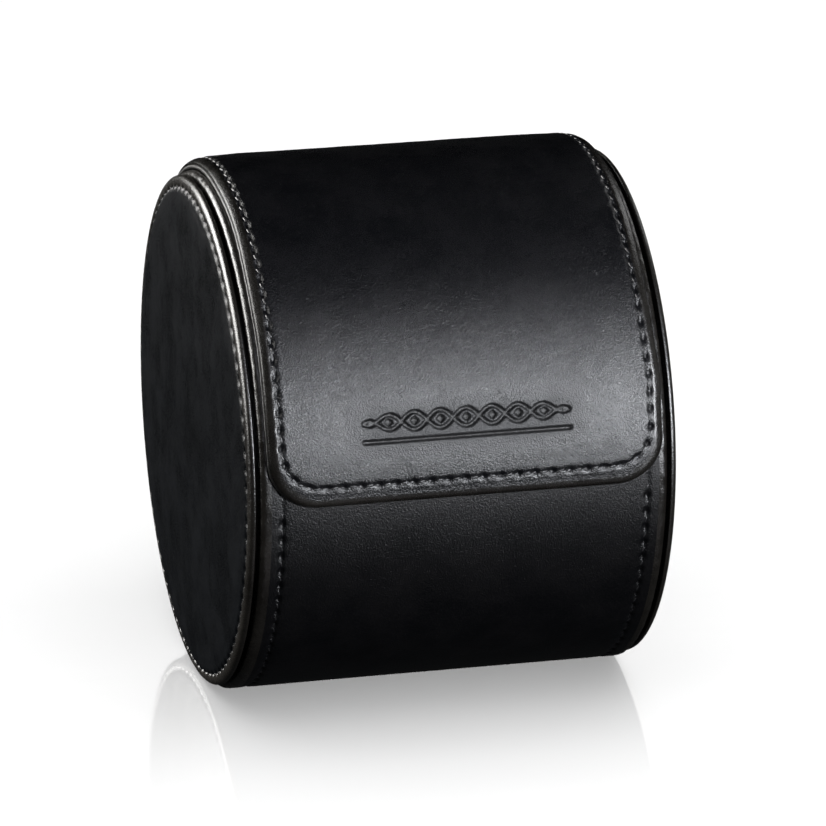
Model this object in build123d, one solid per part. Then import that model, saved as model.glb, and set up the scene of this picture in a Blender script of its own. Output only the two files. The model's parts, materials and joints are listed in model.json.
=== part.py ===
from build123d import *
import os
from math import asin, cos, degrees, radians, sin, sqrt

# Drum-shaped leather travel case for one watch. The drum lies on its side: its axis is X, the
# front is -Y, and the flap is hinged at the back and comes down over the top to the front.
# Everything is drawn about the drum's centre and lifted by CENTRE_HEIGHT when it is written,
# so that the flat it stands on is at Z = 0.
# Angles round the drum start at the front (-Y) and rise: 0 front, 90 top, 180 back, 270 bottom.

# ---- driving dimensions, millimetres and degrees ----
BODY_RADIUS = 44.0          # outside of the body leather
BODY_HALF_WIDTH = 34.6      # to the turned edge of the body leather
CENTRE_HEIGHT = 43.4        # the leather is pressed flat where the drum stands
LEATHER = 0.9
LINING = 0.6
SHELL_BOARD = 1.5
FLAP_BOARD = 0.45
FLAP_LINING = 0.55

MOUTH_FRONT = 33.0          # angle of the front lip, under the flap
MOUTH_BACK = 156.0          # angle of the back lip, just below the hinge line
MOUTH_HALF_WIDTH = 29.3

FLAP_GAP = 0.25             # air between the body and the flap
FLAP_HALF_WIDTH = 33.3
FLAP_EDGE = 0.0             # angle of the flap's front edge
FLAP_CORNER = 8.1
HINGE_ANGLE = 150.0         # the leather folds along this line
TAIL_END = 186.0            # the fixed end of the flap panel, sewn to the back
HINGE_SPLIT = 0.3           # gap between the moving and the fixed leather

CAP_RADIUS = 42.7
CAP_SEAM_X = 36.6           # the stitches sit in a shallow valley inside the rim
CAP_CENTRE_X = 37.7
CAP_FACE_X = 35.8           # where the cap leather lies on the gusset's flange
GUSSET = 0.8
CAP_BOARD = 1.9

THREAD_WIDTH = 0.6
THREAD_DEPTH = 0.35
BODY_SEAM_X = 31.05
FLAP_SEAM_INSET = 2.0
FLAP_EDGE_SEAM_INSET = 3.4
CAP_SEAM_RADIUS = 41.4
LIP_SEAM_INSET = 2.4

CUSHION_HALF_LENGTH = 28.0
CUSHION_WIDTH = 60.0
CUSHION_HEIGHT = 53.0
CUSHION_COVER = 1.2

MAGNET_HALF_WIDTH = 20.0
MAGNET_FROM = 8.0
MAGNET_TO = 18.0
KEEPER = 0.9

# ---- sizes that follow ----
BOARD_OUTER = BODY_RADIUS - LEATHER
LINING_OUTER = BOARD_OUTER - SHELL_BOARD
LINING_INNER = LINING_OUTER - LINING
GUSSET_INNER = LINING_INNER - GUSSET
FLAP_INNER = BODY_RADIUS + FLAP_GAP
FLAP_BOARD_INNER = FLAP_INNER + FLAP_LINING
FLAP_BOARD_OUTER = FLAP_BOARD_INNER + FLAP_BOARD
FLAP_RADIUS = FLAP_BOARD_OUTER + LEATHER
CAP_BOARD_X = CAP_FACE_X - 0.6
CAP_LINING_X = CAP_BOARD_X - CAP_BOARD
FLAP_LINING_HALF_WIDTH = FLAP_HALF_WIDTH + 0.5
FLAP_BOARD_HALF_WIDTH = FLAP_HALF_WIDTH - LEATHER
FLAP_BOARD_END = HINGE_ANGLE - 9.0
REACH = 70.0


def round_point(radius, angle):
    """The point of the Y-Z plane at this radius and angle round the drum."""
    return (-radius * cos(radians(angle)), radius * sin(radians(angle)))


def arc_angle(length, radius=FLAP_RADIUS):
    """The angle whose height above the front-to-back line is this length."""
    return degrees(asin(length / radius))


def ring(inner, outer, x_from, x_to):
    """A tube on the drum's axis."""
    middle = (x_from + x_to) / 2
    place = Location((middle, 0, 0), (0, 90, 0))
    return place * (Cylinder(outer, x_to - x_from) - Cylinder(inner, x_to - x_from))


def disc(radius, x_from, x_to):
    """A plate across the drum's axis."""
    return Location(((x_from + x_to) / 2, 0, 0), (0, 90, 0)) * Cylinder(radius, x_to - x_from)


def wedge(angle_from, angle_to, half_width=REACH):
    """A slice of space between two angles, from the axis outwards."""
    steps = int((angle_to - angle_from) / 40) + 1
    corners = [(0, 0)]
    for step in range(steps + 1):
        corners.append(round_point(REACH, angle_from + (angle_to - angle_from) * step / steps))
    outline = make_face(Plane.YZ * Polyline(*corners, close=True))
    return extrude(outline, half_width, both=True)


def corner_cutter(side, half_width, edge_z, radius):
    """What rounds one lower corner of a curved panel, cut straight through along Y."""
    x_middle = side * (half_width - radius)
    z_middle = edge_z + radius
    block = Location((x_middle + side * radius, 0, z_middle - radius)) * Box(
        2 * radius, 3 * REACH, 2 * radius)
    pin = Location((x_middle, 0, z_middle), (90, 0, 0)) * Cylinder(radius, 4 * REACH)
    return block - pin


def half_space_y(side):
    """Everything in front of the axis (side -1) or behind it (side 1)."""
    return Location((0, side * REACH, 0)) * Box(4 * REACH, 2 * REACH, 4 * REACH)


def curved_panel(inner, outer, half_width, angle_from, angle_to, corner, rounded_end):
    """Part of a tube, with the two corners of one end rounded: 'front' or 'back'."""
    panel = ring(inner, outer, -half_width, half_width) & wedge(angle_from, angle_to)
    end_angle = angle_from if rounded_end == "front" else angle_to
    side_of_axis = -1 if rounded_end == "front" else 1
    edge_z = outer * sin(radians(end_angle))
    for side in (-1, 1):
        cutter = corner_cutter(side, half_width, edge_z, corner)
        panel -= cutter & half_space_y(side_of_axis)
    return panel


def revolved(points):
    """A solid of revolution about the drum's axis from (x, radius) corners."""
    outline = make_face(Plane.XY * Polyline(*points, close=True))
    return revolve(outline, Axis.X, 360)


def dome_arc(centre_x, edge_x, edge_radius):
    """A shallow arc from the axis out to the edge, square to the axis where it starts."""
    rise = centre_x - edge_x
    sphere = (rise ** 2 + edge_radius ** 2) / (2 * rise)
    half = edge_radius / 2
    half_x = centre_x - sphere + sqrt(sphere ** 2 - half ** 2)
    return ThreePointArc((centre_x, 0), (half_x, half), (edge_x, edge_radius))


def oval_prism(width, height, half_length, bottom):
    """The cushion's section, a soft-cornered oval standing on its bottom, along X."""
    section = Plane.YZ.offset(-half_length) * Location((0, bottom + height / 2)) * Ellipse(
        width / 2, height / 2)
    return extrude(section, 2 * half_length)


# ---- the body: leather over a stiff board, with a velour lining ----
mouth = wedge(MOUTH_FRONT, MOUTH_BACK, MOUTH_HALF_WIDTH)
board_mouth = wedge(
    MOUTH_FRONT - degrees(LEATHER / BODY_RADIUS),
    MOUTH_BACK + degrees(LEATHER / BODY_RADIUS),
    MOUTH_HALF_WIDTH + LEATHER)
floor_cut = Location((0, 0, -CENTRE_HEIGHT - REACH)) * Box(4 * REACH, 4 * REACH, 2 * REACH)

board_half_width = BODY_HALF_WIDTH - LEATHER
keeper_strip = curved_panel(
    BOARD_OUTER - KEEPER, BOARD_OUTER, MAGNET_HALF_WIDTH, MAGNET_FROM, MAGNET_TO, 1.0, "front")
shell_board = ring(LINING_OUTER, BOARD_OUTER, -board_half_width, board_half_width) - board_mouth
shell_leather = ring(LINING_OUTER, BODY_RADIUS, -BODY_HALF_WIDTH, BODY_HALF_WIDTH) - mouth
shell_leather -= shell_board
shell_leather -= floor_cut
shell_board -= keeper_strip
shell_lining = ring(LINING_INNER, LINING_OUTER, -board_half_width, board_half_width) - mouth

body_seams = {}
for side_name, side in (("left", -1), ("right", 1)):
    seam_x = side * BODY_SEAM_X
    thread = ring(
        BODY_RADIUS - THREAD_DEPTH, BODY_RADIUS,
        seam_x - THREAD_WIDTH / 2, seam_x + THREAD_WIDTH / 2) - floor_cut
    shell_leather -= thread
    body_seams[side_name] = thread

lip_seam_middle = MOUTH_FRONT - degrees(LIP_SEAM_INSET / BODY_RADIUS)
lip_seam_half = degrees(THREAD_WIDTH / 2 / BODY_RADIUS)
lip_seam = ring(
    BODY_RADIUS - THREAD_DEPTH, BODY_RADIUS,
    THREAD_WIDTH / 2 - BODY_SEAM_X, BODY_SEAM_X - THREAD_WIDTH / 2)
lip_seam &= wedge(lip_seam_middle - lip_seam_half, lip_seam_middle + lip_seam_half)
shell_leather -= lip_seam

# ---- the flap and its fixed tail: one leather panel, parted in this model at the fold ----
split_half = degrees(HINGE_SPLIT / 2 / FLAP_RADIUS)
flap_end = HINGE_ANGLE - split_half
tail_start = HINGE_ANGLE + split_half
flap_board_start = arc_angle(LEATHER)

flap_magnet = curved_panel(
    FLAP_BOARD_INNER, FLAP_BOARD_OUTER, MAGNET_HALF_WIDTH, MAGNET_FROM, MAGNET_TO, 1.0, "front")
flap_board = curved_panel(
    FLAP_BOARD_INNER, FLAP_BOARD_OUTER, FLAP_BOARD_HALF_WIDTH,
    flap_board_start, FLAP_BOARD_END, FLAP_CORNER - LEATHER, "front")
flap_leather = curved_panel(
    FLAP_BOARD_INNER, FLAP_RADIUS, FLAP_HALF_WIDTH, FLAP_EDGE, flap_end, FLAP_CORNER, "front")
flap_leather -= flap_board
flap_board -= flap_magnet
flap_lining = curved_panel(
    FLAP_INNER, FLAP_BOARD_INNER, FLAP_LINING_HALF_WIDTH, FLAP_EDGE, flap_end,
    FLAP_CORNER, "front")


def seam_area(grow):
    """The part of the flap inside its row of stitches, grown by half the thread or less."""
    return curved_panel(
        FLAP_RADIUS - THREAD_DEPTH, FLAP_RADIUS,
        FLAP_HALF_WIDTH - FLAP_SEAM_INSET + grow,
        arc_angle(FLAP_EDGE_SEAM_INSET - grow), flap_end,
        FLAP_CORNER - FLAP_SEAM_INSET + grow, "front")


flap_seam = seam_area(THREAD_WIDTH / 2) - seam_area(-THREAD_WIDTH / 2)
flap_leather -= flap_seam

flap_tail = curved_panel(
    FLAP_INNER, FLAP_RADIUS, FLAP_HALF_WIDTH, tail_start, TAIL_END, FLAP_CORNER, "back")


def tail_seam_area(grow):
    """The part of the tail inside its row of stitches."""
    end = TAIL_END - degrees((FLAP_EDGE_SEAM_INSET - grow) / FLAP_RADIUS)
    return curved_panel(
        FLAP_RADIUS - THREAD_DEPTH, FLAP_RADIUS,
        FLAP_HALF_WIDTH - FLAP_SEAM_INSET + grow, tail_start, end,
        FLAP_CORNER - FLAP_SEAM_INSET + grow, "back")


tail_seam = tail_seam_area(THREAD_WIDTH / 2) - tail_seam_area(-THREAD_WIDTH / 2)
flap_tail -= tail_seam

# ---- one end cap, drawn on the right and mirrored for the left ----
cap_board = disc(GUSSET_INNER, CAP_LINING_X, CAP_BOARD_X)
cap_lining = disc(GUSSET_INNER, CAP_LINING_X - LINING, CAP_LINING_X)
gusset = revolved([
    (MOUTH_HALF_WIDTH, GUSSET_INNER),
    (MOUTH_HALF_WIDTH, LINING_INNER),
    (CAP_BOARD_X, LINING_INNER),
    (CAP_BOARD_X, CAP_RADIUS - 0.2),
    (CAP_FACE_X, CAP_RADIUS - 0.2),
    (CAP_FACE_X, GUSSET_INNER)])
dome_inside = dome_arc(CAP_CENTRE_X - LEATHER, CAP_FACE_X, GUSSET_INNER)
padding_flat = Polyline(
    (CAP_FACE_X, GUSSET_INNER), (CAP_BOARD_X, GUSSET_INNER), (CAP_BOARD_X, 0),
    (CAP_CENTRE_X - LEATHER, 0))
cap_padding = revolve(make_face(dome_inside + padding_flat), Axis.X, 360)

seam_inner = CAP_SEAM_RADIUS - THREAD_WIDTH / 2
seam_outer = CAP_SEAM_RADIUS + THREAD_WIDTH / 2
leather_middle = Line((CAP_CENTRE_X - LEATHER, 0), (CAP_CENTRE_X, 0))
dome_outside = dome_arc(CAP_CENTRE_X, CAP_SEAM_X, seam_inner)
leather_valley = Polyline(
    (CAP_SEAM_X, seam_inner), (CAP_SEAM_X - THREAD_DEPTH, seam_inner),
    (CAP_SEAM_X - THREAD_DEPTH, seam_outer), (CAP_SEAM_X, seam_outer))
leather_rim = ThreePointArc(
    (CAP_SEAM_X, seam_outer), (CAP_SEAM_X + 0.1, CAP_RADIUS - 0.4), (CAP_FACE_X, CAP_RADIUS))
leather_foot = Line((CAP_FACE_X, CAP_RADIUS), (CAP_FACE_X, GUSSET_INNER))
cap_leather = revolve(
    make_face(
        dome_inside + leather_middle + dome_outside + leather_valley + leather_rim + leather_foot),
    Axis.X, 360)
cap_seam = ring(seam_inner, seam_outer, CAP_SEAM_X - THREAD_DEPTH, CAP_SEAM_X)

# ---- the watch cushion: foam core, suede wrap and two end panels ----
cushion_bottom = -LINING_INNER + 0.3
cushion_end_x = CUSHION_HALF_LENGTH - CUSHION_COVER
cushion_body = oval_prism(CUSHION_WIDTH, CUSHION_HEIGHT, cushion_end_x, cushion_bottom)
cushion_core = oval_prism(
    CUSHION_WIDTH - 2 * CUSHION_COVER, CUSHION_HEIGHT - 2 * CUSHION_COVER, cushion_end_x,
    cushion_bottom + CUSHION_COVER)
cushion_cover = cushion_body - cushion_core
cushion_plate = oval_prism(CUSHION_WIDTH, CUSHION_HEIGHT, CUSHION_COVER / 2, cushion_bottom)

# ---- every piece by name ----
pieces = {
    "shell_leather": shell_leather,
    "shell_board": shell_board,
    "shell_lining": shell_lining,
    "keeper_strip": keeper_strip,
    "lip_seam": lip_seam,
    "left_shell_seam": body_seams["left"],
    "right_shell_seam": body_seams["right"],
    "flap_tail": flap_tail,
    "tail_seam": tail_seam,
    "flap_leather": flap_leather,
    "flap_board": flap_board,
    "flap_lining": flap_lining,
    "flap_magnet": flap_magnet,
    "flap_seam": flap_seam,
    "cushion_core": cushion_core,
    "cushion_cover": cushion_cover,
    "left_cushion_end": Location((-CUSHION_HALF_LENGTH + CUSHION_COVER / 2, 0, 0)) * cushion_plate,
    "right_cushion_end": Location((CUSHION_HALF_LENGTH - CUSHION_COVER / 2, 0, 0)) * cushion_plate,
}
cap_pieces = {
    "cap_board": cap_board,
    "cap_lining": cap_lining,
    "cap_padding": cap_padding,
    "cap_leather": cap_leather,
    "cap_seam": cap_seam,
    "gusset": gusset,
}
for name, shape in cap_pieces.items():
    pieces["right_" + name] = shape
    pieces["left_" + name] = mirror(shape, about=Plane.YZ)

os.makedirs("parts", exist_ok=True)
lift = Location((0, 0, CENTRE_HEIGHT))
for name, shape in pieces.items():
    export_step(lift * shape, "parts/" + name + ".step")

hinge_y, hinge_z = round_point(FLAP_RADIUS, HINGE_ANGLE)
print("hinge line at y", round(hinge_y, 3), "z", round(hinge_z + CENTRE_HEIGHT, 3))
print("drum centre at z", CENTRE_HEIGHT, "flap radius", FLAP_RADIUS)
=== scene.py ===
import json
from math import asin, atan2, copysign, cos, pi, radians, sin, sqrt

import bmesh
import bpy
import numpy as np
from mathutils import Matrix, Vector


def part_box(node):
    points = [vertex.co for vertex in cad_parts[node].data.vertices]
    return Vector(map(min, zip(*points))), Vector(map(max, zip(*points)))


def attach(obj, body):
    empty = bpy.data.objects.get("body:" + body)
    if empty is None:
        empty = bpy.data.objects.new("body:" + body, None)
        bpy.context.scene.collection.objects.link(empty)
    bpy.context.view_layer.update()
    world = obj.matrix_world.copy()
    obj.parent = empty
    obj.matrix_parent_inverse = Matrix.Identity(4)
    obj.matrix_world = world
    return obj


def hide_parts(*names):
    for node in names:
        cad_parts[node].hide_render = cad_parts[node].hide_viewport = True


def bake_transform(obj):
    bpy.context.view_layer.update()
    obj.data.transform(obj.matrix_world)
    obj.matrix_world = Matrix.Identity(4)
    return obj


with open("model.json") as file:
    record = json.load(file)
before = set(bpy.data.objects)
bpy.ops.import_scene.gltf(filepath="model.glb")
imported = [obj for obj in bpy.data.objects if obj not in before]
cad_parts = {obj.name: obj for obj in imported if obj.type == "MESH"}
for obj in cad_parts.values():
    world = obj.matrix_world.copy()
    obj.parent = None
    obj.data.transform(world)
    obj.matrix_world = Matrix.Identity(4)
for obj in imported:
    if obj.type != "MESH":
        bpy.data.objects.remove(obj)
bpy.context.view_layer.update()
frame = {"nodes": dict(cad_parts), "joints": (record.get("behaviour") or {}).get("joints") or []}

# A drum-shaped leather case for one watch. The drum's axis is X and its front is -Y. All sizes
# below are in millimetres, and mesh_object turns them into metres. A point on the drum's skin is
# written (x, arc, height): arc runs along the skin from the front up over the top, and height is
# above the skin.

MM = 0.001


# ---- sizes that come from the frame ----
def box_mm(node):
    """A CAD node's lowest and highest corner in millimetres."""
    low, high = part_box(node)
    return np.array(low) / MM, np.array(high) / MM


CAP_LOW, CAP_HIGH = box_mm("right_cap_leather")
CENTRE_Z = (CAP_LOW[2] + CAP_HIGH[2]) / 2
CAP_RADIUS = (CAP_HIGH[2] - CAP_LOW[2]) / 2
CAP_FACE_X = CAP_LOW[0]
CAP_CENTRE_X = CAP_HIGH[0]
CAP_SEAM_LOW, CAP_SEAM_HIGH = box_mm("right_cap_seam")
CAP_SEAM_X = CAP_SEAM_HIGH[0]
THREAD = 0.6
CAP_SEAM_RADIUS = (CAP_SEAM_HIGH[2] - CAP_SEAM_LOW[2]) / 2 - THREAD / 2
CAP_PADDING_RADIUS = box_mm("right_cap_padding")[1][1]
CAP_BOARD_X = box_mm("right_cap_board")[1][0]

FLAP_RADIUS = box_mm("flap_leather")[1][2] - CENTRE_Z
FLAP_HALF_WIDTH = box_mm("flap_leather")[1][0]
FLAP_LINING_OUTER = -box_mm("flap_lining")[0][1]
FLAP_LINING_INNER = FLAP_LINING_OUTER - 0.55
FLAP_SEAM_X = box_mm("flap_seam")[1][0] - THREAD / 2
FLAP_SEAM_START = box_mm("flap_seam")[0][2] - CENTRE_Z + THREAD / 2

BODY_RADIUS = box_mm("shell_leather")[1][1]
BODY_HALF_WIDTH = box_mm("shell_leather")[1][0]
BODY_SEAM_X = (box_mm("right_shell_seam")[0][0] + box_mm("right_shell_seam")[1][0]) / 2
BOARD_HALF_WIDTH = box_mm("shell_board")[1][0]
LINING_OUTER = box_mm("shell_lining")[1][1]
MOUTH_HALF_WIDTH = box_mm("right_gusset")[0][0]
CUSHION_LOW, CUSHION_HIGH = box_mm("cushion_cover")
CUSHION_HALF_LENGTH = box_mm("right_cushion_end")[1][0]

HINGE = np.array(frame["joints"][0]["pos_m"]) / MM
HINGE_ANGLE = pi - atan2(HINGE[2] - CENTRE_Z, HINGE[1])

# ---- sizes that the frame's boxes don't give ----
LEATHER = 0.9
LINING = 0.6
FLAP_BOARD_INSET = 0.9
FLAP_BOARD_END = HINGE_ANGLE - radians(9)
FLAP_CORNER = 8.1
LINING_REACH = 0.2
TAIL_END = radians(186)
MOUTH_FRONT = radians(33)
MOUTH_BACK = radians(156)
MOUTH_CORNER = 2.0
LIP_SEAM_INSET = 2.4
STITCH_PITCH = 2.95
GUSSET = 0.8

FLAP_ARC = TAIL_END * FLAP_RADIUS


# ---- mesh tools ----
def joined(*columns):
    """Numbers and arrays side by side, as points."""
    return np.stack(np.broadcast_arrays(*columns), -1)


class RoundedRect:
    """A round-cornered rectangle on the unrolled skin, from -half to half and from start to end."""

    def __init__(self, half, start, end, radius):
        self.half = half
        self.start = start
        self.end = end
        self.radius = max(radius, 0.0)

    def side(self, number, share):
        """Points and directions at these shares of a side, from corner middle to corner middle."""
        radius = self.radius
        middle = (self.start + self.end) / 2
        span = 2 * self.half if number % 2 == 0 else self.end - self.start
        straight = span - 2 * radius
        bend = pi * radius / 4
        length = straight + 2 * bend
        along = np.asarray(share) * length
        before = np.clip(bend - along, 0, None) / max(radius, 1e-9)
        after = np.clip(along - bend - straight, 0, None) / max(radius, 1e-9)
        turn = after - before
        u = np.clip(along - bend, 0, straight) - straight / 2 + radius * np.sin(turn)
        v = radius * (1 - np.cos(turn))
        du = np.cos(turn)
        dv = np.sin(turn)
        if number == 0:
            return u, self.start + v, du, dv
        if number == 1:
            return self.half - v, middle + u, -dv, du
        if number == 2:
            return -u, self.end - v, -du, -dv
        return -self.half + v, middle - u, dv, -du

    def loop(self, x_shares, arc_shares):
        """The closed outline with these shares of its sides, as rows of x and arc."""
        rows = []
        for number in range(4):
            shares = x_shares if number % 2 == 0 else arc_shares
            if number >= 2:
                shares = 1 - shares[::-1]
            x, arc, _, _ = self.side(number, shares[:-1])
            rows.append(joined(x, arc))
        return np.concatenate(rows)

    def grid(self, x_shares, arc_shares):
        """Points inside a sharp-cornered rectangle, arc by x."""
        x = -self.half + 2 * self.half * x_shares
        arc = self.start + (self.end - self.start) * arc_shares
        return np.stack(np.meshgrid(x, arc), -1)

    def inside(self, x, arc):
        """The distance to the outline, above 0 inside it."""
        side = np.abs(x) - self.half + self.radius
        end = np.abs(arc - (self.start + self.end) / 2) - (self.end - self.start) / 2 + self.radius
        outside = np.hypot(np.maximum(side, 0), np.maximum(end, 0))
        return self.radius - outside - np.minimum(np.maximum(side, end), 0)

    def walk(self, pitch):
        """Evenly spaced points and directions all round, one for each stitch."""
        radius = self.radius
        lengths = []
        for span in (2 * self.half, self.end - self.start):
            lengths.append(span - 2 * radius + pi * radius / 2)
        total = 2 * (lengths[0] + lengths[1])
        count = round(total / pitch)
        places = []
        for index in range(count):
            along = (index + 0.5) * total / count
            number = 0
            while along > lengths[number % 2]:
                along -= lengths[number % 2]
                number += 1
            share = along / lengths[number % 2]
            places.append([float(value) for value in self.side(number, share)])
        return np.array(places)


class Surface:
    """Points and faces of a mesh that is being put together."""

    def __init__(self):
        self.rows = []
        self.faces = []
        self.total = 0

    def add(self, points):
        """Adds points and returns their numbers in the same layout."""
        points = np.asarray(points, float)
        self.rows.append(points.reshape(-1, 3))
        numbers = np.arange(self.total, self.total + self.rows[-1].shape[0])
        self.total += len(numbers)
        return numbers.reshape(points.shape[:-1])

    def strip(self, first, second, closed=True):
        """Quads between two rows of points."""
        if closed:
            first = np.append(first, first[0])
            second = np.append(second, second[0])
        quads = np.stack([first[:-1], first[1:], second[1:], second[:-1]], -1)
        self.faces.extend(quads.tolist())

    def strips(self, loops, closed=True):
        """Quads between each two neighbouring rows, or over a grid if they aren't closed."""
        for first, second in zip(loops[:-1], loops[1:]):
            self.strip(first, second, closed)

    def add_level(self, places, height):
        """Adds points at one height above places on the skin, and returns their numbers."""
        return self.add(np.insert(places, 2, height, axis=-1))

    def fill(self, loop, rectangle, x_shares, arc_shares, height=0.0):
        """Closes a loop with a grid inside it."""
        numbers = self.add_level(rectangle.grid(x_shares, arc_shares), height)
        self.strip(loop, border(numbers))
        self.strips(numbers, closed=False)

    def polygon(self, numbers):
        self.faces.append([int(number) for number in numbers])

    def points(self):
        return np.concatenate(self.rows)


def border(numbers):
    """A grid's outermost points, in the order of RoundedRect.loop."""
    return np.concatenate(
        [numbers[0, :-1], numbers[:-1, -1], numbers[-1, :0:-1], numbers[:0:-1, 0]])


def loop_sides(loop, columns, rows):
    """The front, right, back and left side of a RoundedRect.loop, left and right both backwards."""
    turn = columns + rows
    left = np.append(loop[0], loop[turn + columns:][::-1])
    return loop[:columns + 1], loop[columns:turn + 1], loop[turn:turn + columns + 1], left


def shares_of(breaks, steps):
    """Shares from 0 to 1 with a finer or coarser step between each two breaks."""
    places = [np.array([breaks[0]], float)]
    for low, high, step in zip(breaks[:-1], breaks[1:], steps):
        count = max(1, round((high - low) / step))
        places.append(np.linspace(low, high, count + 1)[1:])
    places = np.concatenate(places)
    return (places - places[0]) / (places[-1] - places[0])


def on_drum(x, arc, height, base, outwards=1):
    """Turns x, arc and height on a drum of this radius into x, y and z."""
    angle = arc / base
    radius = base + outwards * height
    return joined(x, -radius * np.cos(angle), CENTRE_Z + radius * np.sin(angle))


def roll(width, height, count=8):
    """A quarter oval edge as (inset, height) from its side up to its top."""
    turns = np.linspace(0, pi / 2, count)
    return [(width * (1 - cos(turn)), height * (sin(turn) - 1)) for turn in turns]


def waves(first, second, lengths, seed):
    """A smooth uneven surface between about -1 and 1, with waves of these lengths."""
    random = np.random.default_rng(seed)
    total = np.zeros_like(first)
    for length in lengths:
        turn = random.uniform(0, 2 * pi)
        shift = random.uniform(0, 2 * pi)
        total += np.sin(2 * pi / length * (first * cos(turn) + second * sin(turn)) + shift)
    return total / len(lengths)


def step_up(value, low, high):
    """0 below low, 1 above high, and smooth between them."""
    share = np.clip((value - low) / (high - low), 0, 1)
    return share * share * (3 - 2 * share)


def placed_object(name, data):
    """A new object in the scene."""
    piece = bpy.data.objects.new(name, data)
    bpy.context.scene.collection.objects.link(piece)
    return piece


def mesh_object(name, surface, material, points=None, values=None, trim=None):
    """A smooth mesh of a Surface, with its own points or moved ones, in millimetres.

    values are named numbers, one for each point. Where the value named edge is over a half, the
    mesh has the trim material."""
    mesh = bpy.data.meshes.new(name)
    points = surface.points() if points is None else points
    mesh.from_pydata((points * MM).tolist(), [], surface.faces)
    mesh.update()
    edit = bmesh.new()
    edit.from_mesh(mesh)
    bmesh.ops.recalc_face_normals(edit, faces=edit.faces[:])
    edit.to_mesh(mesh)
    edit.free()
    mesh.shade_smooth()
    for key, numbers in (values or {}).items():
        attribute = mesh.attributes.new(key, "FLOAT", "POINT")
        attribute.data.foreach_set("value", np.asarray(numbers, np.float32))
    mesh.materials.append(material)
    if trim:
        mesh.materials.append(trim)
        firsts = [face[0] for face in surface.faces]
        mesh.polygons.foreach_set("material_index", (values["edge"][firsts] > 0.5).astype(int))
    return placed_object(name, mesh)


# ---- seams ----
SLANT = radians(24)
PIT_DEPTH = 0.5
PIT_LONG = 0.5
PIT_SHORT = 0.44
GROOVE_DEPTH = 0.16
GROOVE_REACH = 0.5
PRESSED_REACH = 2.2


def pressed(x, arc, distance, holes):
    """How deep the thread pulls the leather down: a soft groove, and a pit at each needle hole."""
    depth = GROOVE_DEPTH * np.exp(-(distance / GROOVE_REACH) ** 2)
    near = np.flatnonzero(distance < PRESSED_REACH)
    near_x = x[near]
    near_arc = arc[near]
    pits = np.zeros(len(near))
    for hole_x, hole_arc, dx, darc in holes:
        along = (near_x - hole_x) * dx + (near_arc - hole_arc) * darc
        across = (near_arc - hole_arc) * dx - (near_x - hole_x) * darc
        turned = along * cos(SLANT) - across * sin(SLANT)
        other = along * sin(SLANT) + across * cos(SLANT)
        pits = np.maximum(pits, np.exp(-(turned / PIT_LONG) ** 2 - (other / PIT_SHORT) ** 2))
    depth[near] += PIT_DEPTH * pits
    return depth


THREAD_HEIGHT = -0.18
STITCH_SIDES = 10
STITCH_RINGS = 13


def stitches(name, places, alongs, normals, material, length=1.6, width=0.36, sink=0.18, mirror=1):
    """One slanted thread for each place, its ends dipping into the leather."""
    random = np.random.default_rng(len(places))
    surface = Surface()
    share = np.linspace(-1, 1, STITCH_RINGS)
    around = np.linspace(0, 2 * pi, STITCH_SIDES, endpoint=False)
    for place, along, normal in zip(places, alongs, normals):
        across = np.cross(normal, along)
        slant = mirror * (SLANT * 0.8 + random.normal(0, 0.05))
        direction = cos(slant) * along + sin(slant) * across
        side = np.cross(normal, direction)
        half = length / 2 * random.uniform(0.95, 1.04)
        lift = -sink + 0.1 - 0.55 * share ** 4
        middle = place + np.outer(half * share, direction) + np.outer(lift, normal)
        end_round = np.sqrt(np.clip(1 - np.abs(share) ** 5, 0.06, 1))
        loops = []
        for ring in range(STITCH_RINGS):
            twist = around + 2.2 * share[ring]
            thick = width / 2 * end_round[ring] * (1 + 0.09 * np.cos(2 * twist))
            circle = np.outer(np.cos(around) * thick, side)
            circle += np.outer(np.sin(around) * thick, normal)
            loops.append(surface.add(middle[ring] + circle))
        surface.polygon(loops[0])
        surface.strips(loops)
        surface.polygon(loops[-1][::-1])
    return mesh_object(name, surface, material)


def drum_directions(places, base, height):
    """Where stitches on the drum's skin lie, which way they run, and which way is out."""
    x, arc, dx, darc = places.T
    angle = arc / base
    points = on_drum(x, arc, height, base)
    normals = joined(0.0, -np.cos(angle), np.sin(angle))
    alongs = joined(dx, darc * np.sin(angle), darc * np.cos(angle))
    return points, alongs, normals


def holes_between(places):
    """The needle holes, halfway between neighbouring stitches of a closed row."""
    after = np.roll(places, -1, axis=0)
    return (places + after) / 2


# ---- the flap panel: one piece of leather from the front edge over the fold to the back ----
FLAP_OUTLINE = RoundedRect(FLAP_HALF_WIDTH, 0, FLAP_ARC, FLAP_CORNER)
SEAM_SIDE_INSET = FLAP_HALF_WIDTH - FLAP_SEAM_X
SEAM_END_INSET = asin(FLAP_SEAM_START / FLAP_RADIUS) * FLAP_RADIUS
FLAP_SEAM = RoundedRect(
    FLAP_SEAM_X, SEAM_END_INSET, FLAP_ARC - SEAM_END_INSET, FLAP_CORNER - SEAM_SIDE_INSET)
FLAP_STITCHES = FLAP_SEAM.walk(STITCH_PITCH)
FLAP_HOLES = holes_between(FLAP_STITCHES)
EDGE_THICK = FLAP_RADIUS - FLAP_LINING_OUTER
EDGE_WIDTH = 1.35
EDGE_TOP = 1.15
EDGE_BOTTOM = EDGE_THICK - EDGE_TOP

RIM_DROP = 0.32
CROWN = 0.12

ORNAMENT_DEPTH = 0.42
PLATE_DEPTH = 0.09
ORNAMENT_ARC = 13.6
ORNAMENT_HALF = 17.6
BRAID_HEIGHT = 1.45
BRAID_PERIOD = 8.8
LINE_WIDTH = 0.6
RULE_DROP = 3.1


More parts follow.
